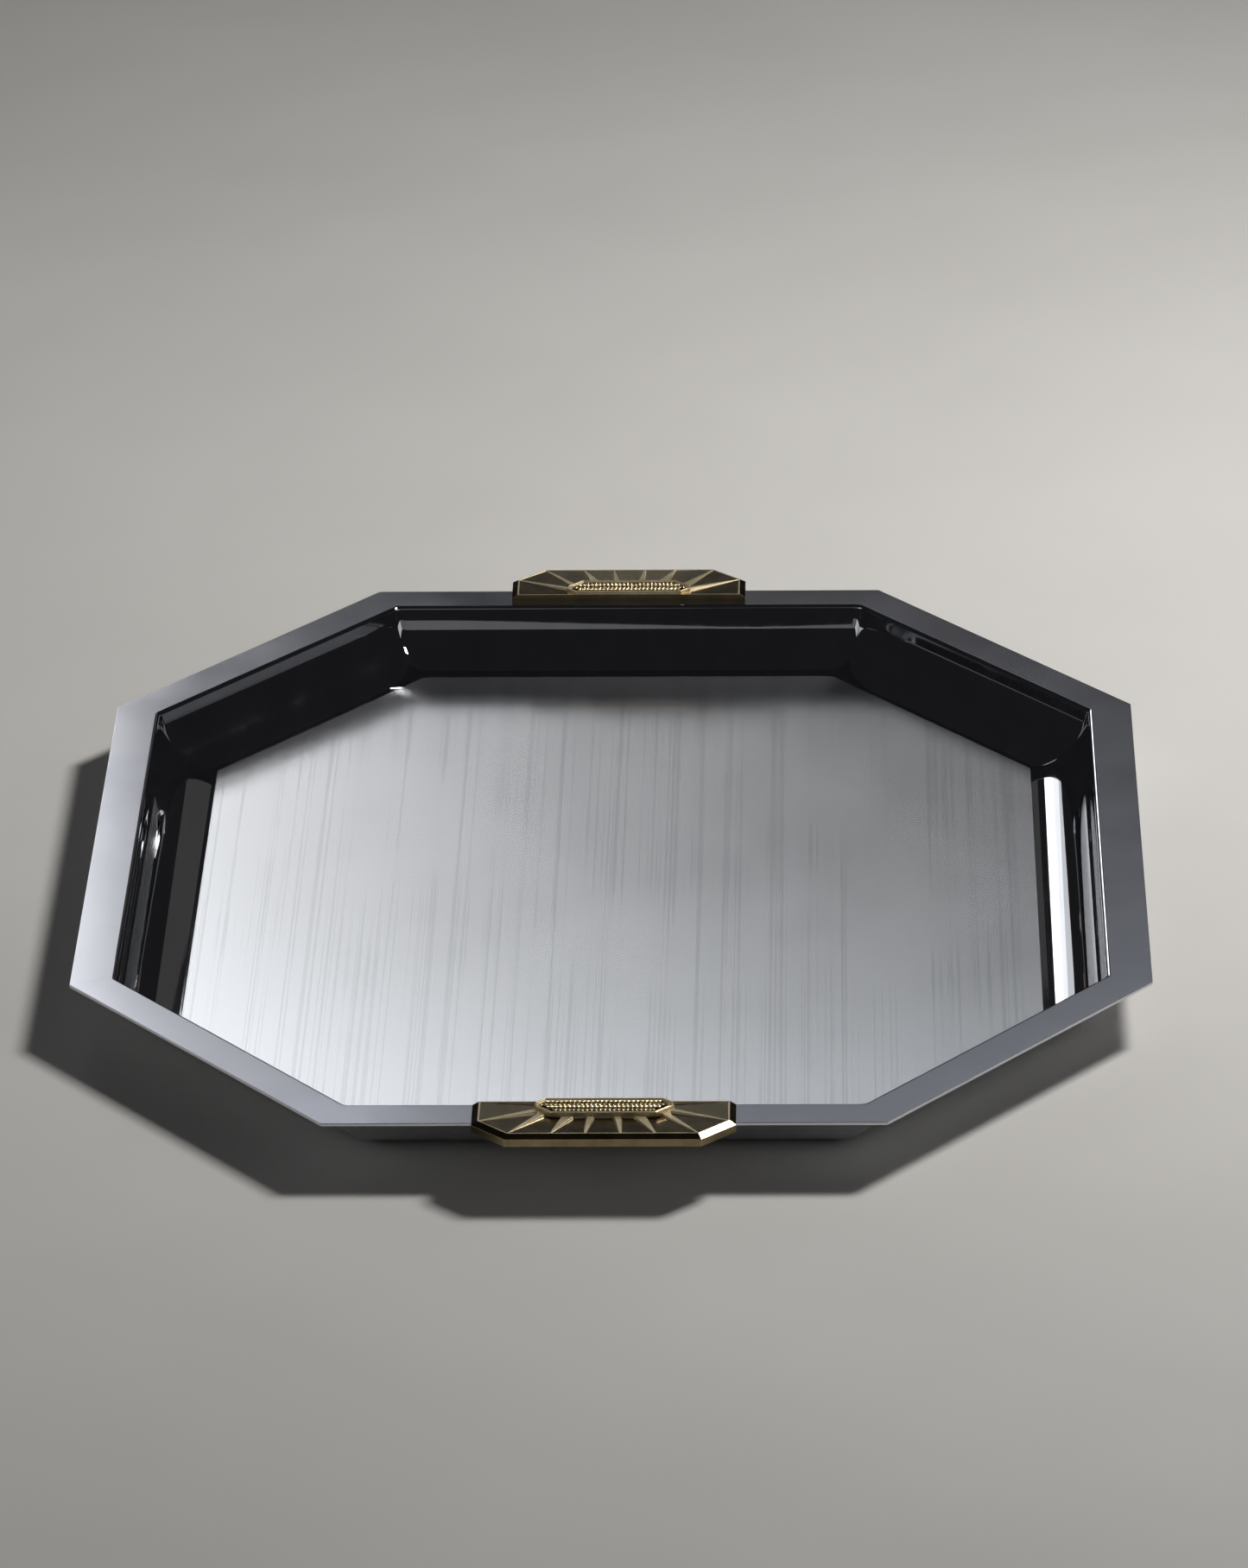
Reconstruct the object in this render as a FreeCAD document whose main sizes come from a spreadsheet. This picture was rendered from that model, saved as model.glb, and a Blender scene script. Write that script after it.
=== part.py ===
import FreeCAD, Part
import math
import os
import Sketcher

# Elongated octagonal serving tray of pressed stainless steel with a cast brass handle at each
# short end. Origin: centre of the underside. +Y points to the back handle, +Z up.
# The front handle is modelled at -Y; the back handle is the same shape turned 180 degrees.

DIMS = {
    "half_width": 180.0,        # tray centre to the outer edge of a long side
    "half_length": 232.0,       # tray centre to the outer edge of a short end
    "end_half": 91.3,           # half the straight edge of a short end
    "side_half": 121.4,         # half the straight edge of a long side
    "rim_flat": 13.8,           # flat flange, outer edge to the start of the rolled lip
    "well_depth": 19.4,         # flange top to the top of the floor
    "sheet_thick": 1.0,
    "lip_radius": 1.5,          # top surface, flange into wall
    "cove_radius": 20.4,        # top surface, wall into floor
    "wall_draft": 15.0,         # wall from vertical, degrees
    "floor_half_width": 140.0,  # inner edge of the formed wall, where the flat floor sheet starts
    "plate_half": 42.6,         # handle plate, half its width at the base
    "plate_setback": 14.4,      # handle plate inner edge, measured inward from the short end
    "plate_inset": 3.6,         # strip of flange left bare between the well and the plate
    "plate_reach": 26.7,        # handle plate, inner edge to outer edge
    "plate_corner": 11.0,       # cut corner of the plate's base, along each edge
    "plate_top": 2.8,           # plate top above the flange
    "bevel_width": 2.1,
    "bevel_drop": 1.25,
    "rim_gap": 0.1,             # step of the plate to the edge of the flange
    "facet_drop": 0.35,         # depth of the sunburst facets between their ribs
    "rib_tip": 0.25,            # half width of a rib at its outer tip
    "facet_margin": 0.4,        # ridge left along the plate's edges
    "badge_half": 22.2,         # badge on the plate, half width
    "badge_reach": 11.3,
    "badge_outer_cut": 5.2,
    "badge_inner_cut": 3.0,
    "badge_rise": 1.2,
    "badge_border": 1.5,
    "badge_floor": 0.3,
    "rope_radius": 0.98,
    "rope_pitch": 2.05,
    "screw_spacing": 28.0,
    "screw_line": 5.6,          # screw axis outward of the plate's inner edge
    "shank_radius": 1.25,
    "shank_top": 1.8,           # end of the screw above the flange
    "tapped_depth": 2.0,        # blind hole in the plate
    "clear_radius": 1.45,       # hole through the flange
    "washer_radius": 3.2,
    "washer_thick": 0.5,
    "head_radius": 2.4,
    "head_thick": 1.6,
    "slot_width": 0.7,
    "slot_depth": 0.7,
}

# Sunburst ribs of the right half of a plate, from the end to the middle: outer tip (x, y),
# root beside the badge (x, y) and half width at the root, y measured outward from the plate's
# inner edge. They go into the sheet as rib1_tip_x and so on.
RIBS = (
    ((40.1, 14.7), (21.9, 6.6), 0.9),
    ((30.5, 24.2), (19.6, 8.9), 1.1),
    ((16.7, 24.2), (11.5, 11.0), 1.7),
    ((5.7, 24.2), (4.3, 11.0), 1.0),
)
for number, (tip, root, root_half) in enumerate(RIBS, start=1):
    DIMS[f"rib{number}_tip_x"] = tip[0]
    DIMS[f"rib{number}_tip_y"] = tip[1]
    DIMS[f"rib{number}_root_x"] = root[0]
    DIMS[f"rib{number}_root_y"] = root[1]
    DIMS[f"rib{number}_root_half"] = root_half

ROPE_ROWS = 4
SCREWS = (-1, 0, 1)

doc = FreeCAD.newDocument("serving_tray")


def fill_sheet():
    sheet = doc.addObject("Spreadsheet::Sheet", "dims")
    for row, (alias, value) in enumerate(DIMS.items(), start=1):
        sheet.set(f"A{row}", alias)
        sheet.set(f"B{row}", str(value))
        sheet.setAlias(f"B{row}", alias)
    doc.recompute()


fill_sheet()

RIM_TOP = "(dims.sheet_thick + dims.well_depth)"
PLATE_EDGE = "(dims.half_length - dims.plate_setback + dims.plate_inset)"
PLATE_TOP = f"({RIM_TOP} + dims.plate_top)"
SCREW_Y = f"({PLATE_EDGE} + dims.screw_line)"


def screw_x(place):
    return f"{place} * dims.screw_spacing"


def new_body(name):
    body = doc.addObject("PartDesign::Body", name)
    body.Label = name
    return body


def new_sketch(body, name, role="XY_Plane", height=None):
    """Sketch on one of the body's own origin planes, raised by the text `height`."""
    sketch = body.newObject("Sketcher::SketchObject", name)
    plane = [item for item in body.Origin.OriginFeatures if item.Role == role][0]
    sketch.AttachmentSupport = [(plane, "")]
    sketch.MapMode = "FlatFace"
    if height:
        sketch.setExpression("AttachmentOffset.Base.z", height)
    return sketch


def pin_point(sketch, geometry, position, x_text, y_text):
    """Place a point of the sketch at two expressions measured from its origin."""
    for kind, text in (("DistanceX", x_text), ("DistanceY", y_text)):
        index = sketch.addConstraint(Sketcher.Constraint(kind, -1, 1, geometry, position, 1.0))
        sketch.setExpression(f"Constraints[{index}]", text)


def add_polygon(sketch, corners):
    """Closed outline whose corners are pairs of expressions, in counterclockwise order."""
    count = len(corners)
    first = sketch.GeometryCount
    guess = [
        FreeCAD.Vector(10 * math.cos(2 * math.pi * i / count), 10 * math.sin(2 * math.pi * i / count), 0)
        for i in range(count)
    ]
    for i in range(count):
        sketch.addGeometry(Part.LineSegment(guess[i], guess[(i + 1) % count]))
    for i in range(count):
        following = first + (i + 1) % count
        sketch.addConstraint(Sketcher.Constraint("Coincident", first + i, 2, following, 1))
    for i, (x_text, y_text) in enumerate(corners):
        pin_point(sketch, first + i, 1, x_text, y_text)


def add_circle(sketch, x_text, y_text, radius_text):
    circle = Part.Circle(FreeCAD.Vector(1, 1, 0), FreeCAD.Vector(0, 0, 1), 1)
    geometry = sketch.addGeometry(circle)
    index = sketch.addConstraint(Sketcher.Constraint("Radius", geometry, 1.0))
    sketch.setExpression(f"Constraints[{index}]", radius_text)
    pin_point(sketch, geometry, 3, x_text, y_text)


def add_pad(body, name, sketch, length_text):
    pad = body.newObject("PartDesign::Pad", name)
    pad.Profile = sketch
    pad.setExpression("Length", length_text)


def add_pocket(body, name, sketch, length_text, reversed_cut=False):
    """Cut the sketch downward, or upward when reversed; the volume must drop."""
    doc.recompute()
    before = body.Shape.Volume
    pocket = body.newObject("PartDesign::Pocket", name)
    pocket.Profile = sketch
    pocket.setExpression("Length", length_text)
    pocket.Reversed = reversed_cut
    doc.recompute()
    if body.Shape.Volume >= before:
        raise RuntimeError(f"{body.Label}: {name} cuts nothing")


def octagon(inset_text="0"):
    """Corners of the tray's outline moved inward by an expression, starting at right front."""
    run = "(dims.half_width - dims.end_half)"
    rise = "(dims.half_length - dims.side_half)"
    slant = f"sqrt({run} ^ 2 + {rise} ^ 2)"
    half_end = f"(dims.end_half - ({inset_text}) * ({slant} - {run}) / {rise})"
    half_side = f"(dims.side_half - ({inset_text}) * ({slant} - {rise}) / {run})"
    across = f"(dims.half_width - ({inset_text}))"
    along = f"(dims.half_length - ({inset_text}))"
    return [
        (across, f"-{half_side}"),
        (across, half_side),
        (half_end, along),
        (f"-{half_end}", along),
        (f"-{across}", half_side),
        (f"-{across}", f"-{half_side}"),
        (f"-{half_end}", f"-{along}"),
        (half_end, f"-{along}"),
    ]


def wall_profile(body):
    """Section of flange, lip, wall and cove on the right side, one sheet thick."""
    top = DIMS["well_depth"] + DIMS["sheet_thick"]
    sheet_thick = DIMS["sheet_thick"]
    lip = DIMS["lip_radius"]
    cove = DIMS["cove_radius"]
    draft = math.radians(DIMS["wall_draft"])
    outer = DIMS["half_width"]
    lip_centre = FreeCAD.Vector(outer - DIMS["rim_flat"], top - lip, 0)
    normal = FreeCAD.Vector(-math.cos(draft), math.sin(draft), 0)
    cove_height = sheet_thick + cove
    # The wall face is the line at distance `lip` from the lip's centre along the normal, and
    # at distance `cove` from the cove's centre against it.
    drop = lip_centre.y - cove_height
    centre_shift = (lip + cove + drop * math.sin(draft)) / math.cos(draft)
    cove_centre = FreeCAD.Vector(lip_centre.x - centre_shift, cove_height, 0)
    inner = DIMS["floor_half_width"]

    def arc(centre, radius, start, end):
        circle = Part.Circle(centre, FreeCAD.Vector(0, 0, 1), radius)
        return Part.ArcOfCircle(circle, start, end)

    def line(start, end):
        return Part.LineSegment(start, end)

    up = FreeCAD.Vector(0, 1, 0)
    wall_angle = math.pi - draft
    sketch = new_sketch(body, "wall_profile", "XZ_Plane")
    outer_top = FreeCAD.Vector(outer, top, 0)
    outer_low = FreeCAD.Vector(outer, top - sheet_thick, 0)
    floor_top = FreeCAD.Vector(inner, sheet_thick, 0)
    floor_low = FreeCAD.Vector(inner, 0, 0)
    lip_low = lip - sheet_thick
    cove_low = cove + sheet_thick
    outline = [
        line(outer_top, lip_centre + up * lip),
        arc(lip_centre, lip, math.pi / 2, wall_angle),
        line(lip_centre + normal * lip, cove_centre - normal * cove),
        arc(cove_centre, cove, -math.pi / 2, -draft),
        line(cove_centre - up * cove, floor_top),
        line(floor_top, floor_low),
        line(floor_low, cove_centre - up * cove_low),
        arc(cove_centre, cove_low, -math.pi / 2, -draft),
        line(cove_centre - normal * cove_low, lip_centre + normal * lip_low),
        arc(lip_centre, lip_low, math.pi / 2, wall_angle),
        line(lip_centre + up * lip_low, outer_low),
        line(outer_low, outer_top),
    ]
    sketch.addGeometry(outline)
    # (element, its end, next element, its start); an arc's start is its smaller angle.
    tangents = (
        (0, 2, 1, 1), (1, 2, 2, 1), (2, 2, 3, 2), (3, 1, 4, 1),
        (6, 2, 7, 1), (7, 2, 8, 1), (8, 2, 9, 2), (9, 1, 10, 1),
    )
    for joint in tangents:
        sketch.addConstraint(Sketcher.Constraint("Tangent", *joint))
    for joint in ((4, 2, 5, 1), (5, 2, 6, 1), (10, 2, 11, 1), (11, 2, 0, 1)):
        sketch.addConstraint(Sketcher.Constraint("Coincident", *joint))
    for level in (0, 4, 6, 10):
        sketch.addConstraint(Sketcher.Constraint("Horizontal", level))
    for upright in (5, 11):
        sketch.addConstraint(Sketcher.Constraint("Vertical", upright))
    sketch.addConstraint(Sketcher.Constraint("Coincident", 1, 3, 9, 3))
    sketch.addConstraint(Sketcher.Constraint("Coincident", 3, 3, 7, 3))
    radii = (
        (1, lip, "dims.lip_radius"),
        (3, cove, "dims.cove_radius"),
        (7, cove_low, "dims.cove_radius + dims.sheet_thick"),
        (9, lip_low, "dims.lip_radius - dims.sheet_thick"),
    )
    for geometry, value, text in radii:
        index = sketch.addConstraint(Sketcher.Constraint("Radius", geometry, value))
        sketch.setExpression(f"Constraints[{index}]", text)
    places = (
        ("DistanceX", (-1, 1, 0, 1), outer, "dims.half_width"),
        ("DistanceY", (-1, 1, 0, 1), top, RIM_TOP),
        ("DistanceX", (0, 2, 0, 1), DIMS["rim_flat"], "dims.rim_flat"),
        ("DistanceX", (-1, 1, 4, 2), inner, "dims.floor_half_width"),
        ("DistanceY", (-1, 1, 4, 2), sheet_thick, "dims.sheet_thick"),
    )
    for kind, points, value, text in places:
        index = sketch.addConstraint(Sketcher.Constraint(kind, *points, value))
        sketch.setExpression(f"Constraints[{index}]", text)
    index = sketch.addConstraint(Sketcher.Constraint("Angle", 2, -math.pi / 2 - draft))
    sketch.setExpression(f"Constraints[{index}]", "-90 deg - dims.wall_draft * 1 deg")
    return sketch


def build_tray_pan():
    body = new_body("tray_pan")
    profile = wall_profile(body)
    spine = new_sketch(body, "rim_path")
    start = ("dims.half_width", "0")
    ring = octagon()
    add_polygon(spine, [start] + ring[1:] + ring[:1])
    doc.recompute()
    pipe = body.newObject("PartDesign::AdditivePipe", "formed_wall")
    pipe.Profile = profile
    edges = [f"Edge{i + 1}" for i in range(len(spine.Shape.Edges))]
    pipe.Spine = (spine, edges)
    pipe.Transition = "Right corner"
    floor = new_sketch(body, "floor_outline")
    add_polygon(floor, octagon("dims.half_width - dims.floor_half_width"))
    add_pad(body, "floor_sheet", floor, "dims.sheet_thick")
    holes = new_sketch(body, "screw_holes", height=RIM_TOP)
    for place in SCREWS:
        for side in ("", "-"):
            add_circle(holes, screw_x(place), side + SCREW_Y, "dims.clear_radius")
    add_pocket(body, "flange_holes", holes, "dims.sheet_thick")
    return body


def half_octagon(half, reach, cut):
    """Plate outline: inner edge straight, the two outer corners cut."""
    top = f"({PLATE_EDGE} + {reach})"
    shoulder = f"({PLATE_EDGE} + {reach} - {cut})"
    return [
        (half, PLATE_EDGE),
        (half, shoulder),
        (f"({half} - {cut})", top),
        (f"-({half} - {cut})", top),
        (f"-{half}", shoulder),
        (f"-{half}", PLATE_EDGE),
    ]


def rib_corner(number, end, side):
    """Edge point of a rib at its tip or root; side 1 faces the plate's end, -1 its middle."""
    rib = f"dims.rib{number}_"
    run = f"({rib}tip_x - {rib}root_x)"
    rise = f"({rib}tip_y - {rib}root_y)"
    length = f"sqrt({run} ^ 2 + {rise} ^ 2)"
    half = "dims.rib_tip" if end == "tip" else f"{rib}root_half"
    x_text = f"({rib}{end}_x + {side} * {half} * {rise} / {length})"
    y_text = f"({PLATE_EDGE} + {rib}{end}_y - {side} * {half} * {run} / {length})"
    return x_text, y_text


def facets():
    """The nine facets between the ribs, right half, middle, then left half."""
    margin_y = f"({PLATE_EDGE} + dims.facet_margin)"
    end_x = "(dims.plate_half - dims.bevel_width - dims.facet_margin)"
    right = [[
        ("dims.rib1_root_x", margin_y),
        (end_x, margin_y),
        rib_corner(1, "tip", 1),
        rib_corner(1, "root", 1),
    ]]
    for number in range(1, len(RIBS)):
        right.append([
            rib_corner(number, "root", -1),
            rib_corner(number, "tip", -1),
            rib_corner(number + 1, "tip", 1),
            rib_corner(number + 1, "root", 1),
        ])
    left = [[(f"-{x_text}", y_text) for x_text, y_text in reversed(facet)] for facet in right]
    inner = [rib_corner(len(RIBS), "root", -1), rib_corner(len(RIBS), "tip", -1)]
    middle = inner + [(f"-{x_text}", y_text) for x_text, y_text in reversed(inner)]
    return right + [middle] + left


def build_handle_plate(name):
    """Cast plate stepped over the flange, bevelled outside, with sunburst facets on top."""
    body = new_body(name)
    bottom = new_sketch(body, name + "_base", height="dims.well_depth")
    add_polygon(bottom, half_octagon("dims.plate_half", "dims.plate_reach", "dims.plate_corner"))
    upright = "dims.sheet_thick + dims.plate_top - dims.bevel_drop"
    add_pad(body, name + "_slab", bottom, upright)
    shoulder = new_sketch(body, name + "_bevel_low", height=f"{PLATE_TOP} - dims.bevel_drop")
    add_polygon(shoulder, half_octagon("dims.plate_half", "dims.plate_reach", "dims.plate_corner"))
    crown = new_sketch(body, name + "_bevel_high", height=PLATE_TOP)
    crown_half = "(dims.plate_half - dims.bevel_width)"
    crown_reach = "(dims.plate_reach - dims.bevel_width)"
    crown_cut = "(dims.plate_corner - dims.bevel_width * (2 - sqrt(2)))"
    add_polygon(crown, half_octagon(crown_half, crown_reach, crown_cut))
    loft = body.newObject("PartDesign::AdditiveLoft", name + "_bevel")
    loft.Profile = shoulder
    loft.Sections = [crown]
    loft.Ruled = True

    step = new_sketch(body, name + "_flange_step", height="dims.well_depth")
    step_edge = "(dims.half_length + dims.rim_gap)"
    step_half = "(dims.plate_half + 1)"
    step_low = f"({PLATE_EDGE} - 1)"
    add_polygon(step, [
        (step_half, step_low),
        (step_half, step_edge),
        (f"-{step_half}", step_edge),
        (f"-{step_half}", step_low),
    ])
    add_pocket(body, name + "_step", step, "dims.sheet_thick", reversed_cut=True)

    burst = new_sketch(body, name + "_facet_outlines", height=PLATE_TOP)
    for facet in facets():
        add_polygon(burst, facet)
    add_pocket(body, name + "_sunburst", burst, "dims.facet_drop")

    taps = new_sketch(body, name + "_tap_circles", height=RIM_TOP)
    for place in SCREWS:
        add_circle(taps, screw_x(place), SCREW_Y, "dims.shank_radius")
    add_pocket(body, name + "_taps", taps, "dims.tapped_depth", reversed_cut=True)
    return body


def badge_outline(inset):
    """Long octagon of the badge moved inward, its inner corners cut less than the outer ones."""
    half = f"(dims.badge_half - {inset})"
    low = f"({PLATE_EDGE} + {inset})"
    high = f"({PLATE_EDGE} + dims.badge_reach - {inset})"
    outer_cut = f"(dims.badge_outer_cut - {inset} * (2 - sqrt(2)))"
    inner_cut = f"(dims.badge_inner_cut - {inset} * (2 - sqrt(2)))"
    right = [
        (f"({half} - {inner_cut})", low),
        (half, f"({low} + {inner_cut})"),
        (half, f"({high} - {outer_cut})"),
        (f"({half} - {outer_cut})", high),
    ]
    return right + [(f"-{x_text}", y_text) for x_text, y_text in reversed(right)]


def build_badge_frame(name):
    """Raised frame on the middle of the plate, with a sunken field for the rope rows."""
    body = new_body(name)
    outline = new_sketch(body, name + "_outline", height=PLATE_TOP)
    add_polygon(outline, badge_outline("0"))
    add_pad(body, name + "_block", outline, "dims.badge_rise")
    field = new_sketch(body, name + "_field_outline", height=f"{PLATE_TOP} + dims.badge_rise")
    add_polygon(field, badge_outline("dims.badge_border"))
    add_pocket(body, name + "_field", field, "dims.badge_rise - dims.badge_floor")
    return body


def rope_half(row):
    """Half length of a rope row, kept inside the cut corners of the badge's field."""
    border = "dims.badge_border"
    shrink = f"{border} * (2 - sqrt(2))"
    field_height = f"(dims.badge_reach - 2 * {border})"
    low_edge = f"({field_height} / 2 + ({row - ROPE_ROWS / 2}) * dims.rope_pitch)"
    high_edge = f"({field_height} / 2 - ({row + 1 - ROPE_ROWS / 2}) * dims.rope_pitch)"
    inner_loss = f"dims.badge_inner_cut - {shrink} - {low_edge}"
    outer_loss = f"dims.badge_outer_cut - {shrink} - {high_edge}"
    return f"dims.badge_half - {border} - max(0; {inner_loss}; {outer_loss})"


def build_rope_rows(name):
    """Half-round bars lying side by side along X in the badge's field."""
    rows = []
    for row in range(ROPE_ROWS):
        bar = doc.addObject("Part::Cylinder", f"{name}_{row + 1}")
        half = rope_half(row)
        bar.setExpression("Radius", "dims.rope_radius")
        bar.setExpression("Height", f"2 * ({half})")
        bar.Angle = 180
        # Local Z lies along +X and local +Y, the round side, points up.
        local_axes = (FreeCAD.Vector(0, 1, 0), FreeCAD.Vector(0, 0, 1), FreeCAD.Vector(1, 0, 0))
        turn = FreeCAD.Rotation(*local_axes, "ZXY")
        bar.Placement = FreeCAD.Placement(FreeCAD.Vector(0, 0, 0), turn)
        offset = row + 0.5 - ROPE_ROWS / 2
        bar.setExpression("Placement.Base.x", f"-({half})")
        bar.setExpression(
            "Placement.Base.y", f"{PLATE_EDGE} + dims.badge_reach / 2 + ({offset}) * dims.rope_pitch"
        )
        bar.setExpression("Placement.Base.z", f"{PLATE_TOP} + dims.badge_floor")
        rows.append(bar)
    return group(name, rows)


def group(name, members):
    compound = doc.addObject("Part::Compound", name)
    compound.Label = name
    compound.Links = members
    return compound


def add_cylinder(name, place, low_text, radius_text, height_text):
    cylinder = doc.addObject("Part::Cylinder", name)
    cylinder.setExpression("Radius", radius_text)
    cylinder.setExpression("Height", height_text)
    cylinder.setExpression("Placement.Base.x", screw_x(place))
    cylinder.setExpression("Placement.Base.y", SCREW_Y)
    cylinder.setExpression("Placement.Base.z", low_text)
    return cylinder


def build_screws(name):
    """Slotted screws that come up through washer and flange into the plate's tapped holes."""
    screws = []
    washer_low = "(dims.well_depth - dims.washer_thick)"
    head_low = f"({washer_low} - dims.head_thick)"
    for place in SCREWS:
        label = f"{name}_{place + 2}"
        head = add_cylinder(label + "_head", place, head_low, "dims.head_radius", "dims.head_thick")
        shank_length = f"{RIM_TOP} + dims.shank_top - {washer_low}"
        shank = add_cylinder(label + "_shank", place, washer_low, "dims.shank_radius", shank_length)
        blank = doc.addObject("Part::MultiFuse", label + "_blank")
        blank.Shapes = [head, shank]
        slot = doc.addObject("Part::Box", label + "_slot")
        slot.setExpression("Length", "3 * dims.head_radius")
        slot.setExpression("Width", "dims.slot_width")
        slot.setExpression("Height", "2 * dims.slot_depth")
        slot.setExpression("Placement.Base.x", f"{screw_x(place)} - 1.5 * dims.head_radius")
        slot.setExpression("Placement.Base.y", f"{SCREW_Y} - dims.slot_width / 2")
        slot.setExpression("Placement.Base.z", f"{head_low} - dims.slot_depth")
        screw = doc.addObject("Part::Cut", label)
        screw.Base = blank
        screw.Tool = slot
        screws.append(screw)
    return group(name, screws)


def build_washers(name):
    washers = []
    low = "dims.well_depth - dims.washer_thick"
    for place in SCREWS:
        label = f"{name}_{place + 2}"
        disc = add_cylinder(label + "_disc", place, low, "dims.washer_radius", "dims.washer_thick")
        bore = add_cylinder(label + "_bore", place, low, "dims.clear_radius", "dims.washer_thick")
        washer = doc.addObject("Part::Cut", label)
        washer.Base = disc
        washer.Tool = bore
        washers.append(washer)
    return group(name, washers)


def build_handle(end, turn_degrees):
    """All pieces of one handle, built at +Y and turned about Z to its own end."""
    pieces = [
        build_handle_plate(end + "_handle_plate"),
        build_badge_frame(end + "_badge_frame"),
        build_rope_rows(end + "_rope_rows"),
        build_screws(end + "_screws"),
        build_washers(end + "_washers"),
    ]
    turn = FreeCAD.Rotation(FreeCAD.Vector(0, 0, 1), turn_degrees)
    for piece in pieces:
        piece.Placement = FreeCAD.Placement(FreeCAD.Vector(0, 0, 0), turn)
    return pieces


def check(nodes):
    for item in doc.Objects:
        if "Invalid" in item.State or "Error" in item.State:
            raise RuntimeError(f"{item.Name} failed: {item.State}")
    for node in nodes:
        if node.Shape.isNull() or not node.Shape.isValid():
            raise RuntimeError(f"{node.Label} has no valid shape")
        if not node.Shape.Solids:
            raise RuntimeError(f"{node.Label} has no solid")


def main():
    nodes = [build_tray_pan()]
    nodes += build_handle("back", 0)
    nodes += build_handle("front", 180)
    doc.recompute()
    check(nodes)
    os.makedirs("parts", exist_ok=True)
    for node in nodes:
        node.Shape.exportStep(os.path.join("parts", node.Label + ".step"))
        box = node.Shape.BoundBox
        print(
            f"{node.Label}: {len(node.Shape.Solids)} solids, {node.Shape.Volume:.0f} mm3,"
            f" y {box.YMin:.1f} to {box.YMax:.1f}, z {box.ZMin:.2f} to {box.ZMax:.2f}"
        )


main()
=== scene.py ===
import math
import bpy
import bmesh
from mathutils import Matrix, Vector
from mathutils.geometry import delaunay_2d_cdt


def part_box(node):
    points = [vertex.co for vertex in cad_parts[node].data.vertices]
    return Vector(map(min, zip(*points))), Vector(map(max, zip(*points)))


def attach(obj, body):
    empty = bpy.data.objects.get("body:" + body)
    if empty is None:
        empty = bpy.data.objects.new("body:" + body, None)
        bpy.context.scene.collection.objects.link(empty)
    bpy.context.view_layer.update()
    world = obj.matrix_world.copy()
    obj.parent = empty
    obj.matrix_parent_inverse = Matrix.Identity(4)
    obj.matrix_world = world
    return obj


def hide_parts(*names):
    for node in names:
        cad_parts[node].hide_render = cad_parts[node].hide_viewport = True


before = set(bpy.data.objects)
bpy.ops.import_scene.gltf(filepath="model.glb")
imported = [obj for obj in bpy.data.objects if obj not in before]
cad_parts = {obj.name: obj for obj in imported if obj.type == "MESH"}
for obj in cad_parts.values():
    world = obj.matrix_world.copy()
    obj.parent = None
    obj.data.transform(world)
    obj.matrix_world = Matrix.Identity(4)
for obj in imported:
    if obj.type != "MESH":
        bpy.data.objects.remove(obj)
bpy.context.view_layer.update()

# Octagonal steel serving tray with two cast brass sunburst handles, on a pale studio floor.
# Sizes below are in millimetres, as in the CAD model; MM turns them into metres.

MM = 0.001

PAN_LOW, PAN_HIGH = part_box("tray_pan")
HALF_WIDTH = PAN_HIGH.x / MM
HALF_LENGTH = PAN_HIGH.y / MM
RIM_TOP = PAN_HIGH.z / MM
END_HALF = 91.3
SIDE_HALF = 121.4
SHEET = 1.0
RIM_FLAT = 13.8
LIP_RADIUS = 1.5
COVE_RADIUS = 20.4
WALL_DRAFT = math.radians(15.0)
EDGE_ROUND = 0.2            # rounding of the sheet's cut edge
RIM_CORNER = 0.5            # plan radius of the flange's outer corners
WELL_CORNER = 3.6           # plan radius of the pressed corners
FLOOR_CORNER = 3.0
CORNER_STEPS = 10
LIP_STEPS = 8
COVE_STEPS = 28
ROUND_MIDDLE = 0.29         # a quarter round's middle point to either face, per unit of radius
PAN_SHARP_ANGLE = 30        # degrees; the pan's sharper edges stay crisp
POLISHED, SATIN, BRUSHED = range(3)  # the pan's material slots

PLATE_LOW, PLATE_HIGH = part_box("back_handle_plate")
PLATE_EDGE = PLATE_LOW.y / MM
PLATE_HALF = PLATE_HIGH.x / MM
PLATE_REACH = PLATE_HIGH.y / MM - PLATE_EDGE
PLATE_TOP = PLATE_HIGH.z / MM
PLATE_CORNER = 11.0
BEVEL_WIDTH = 2.1
BEVEL_DROP = 1.25
CUT_LOSS = 2 - math.sqrt(2)  # how much less a 45 degree corner cuts per unit of inset
FACET_MARGIN = 0.4
RIB_TIP = 0.2
# Right-half ribs, end to middle: tip (x, y), root (x, y), half width at the root.
RIBS = (
    ((40.1, 14.7), (21.9, 6.6), 0.9),
    ((30.5, 24.2), (19.6, 8.9), 1.1),
    ((16.7, 24.2), (11.5, 11.0), 1.7),
    ((5.7, 24.2), (4.3, 11.0), 1.0),
)
FACET_SHALLOW = 0.12        # facet depth at the plate's edge
FACET_DEEP = 0.75           # facet depth beside the badge
FACET_SIDE = 0.7            # run of a facet's side wall per unit of depth
MERGE_DISTANCE = 1e-5       # corners closer than this become one
FLAT_ANGLE = 0.01           # radians; faces within it are joined into one
STEP_GAP = 0.1              # clearance between the rim's edge and the step in the plate
PLATE_SOFTENING = 0.11
RIB, FACET = range(2)       # material slots of the plate and of the badge's frame

BADGE_HALF = 22.2
BADGE_REACH = 11.3
BADGE_OUTER_CUT = 5.2
BADGE_INNER_CUT = 3.0
BADGE_RISE = 1.2
BADGE_BORDER = 1.5
BADGE_FLOOR = 0.3
BADGE_SOFTENING = 0.06
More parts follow.
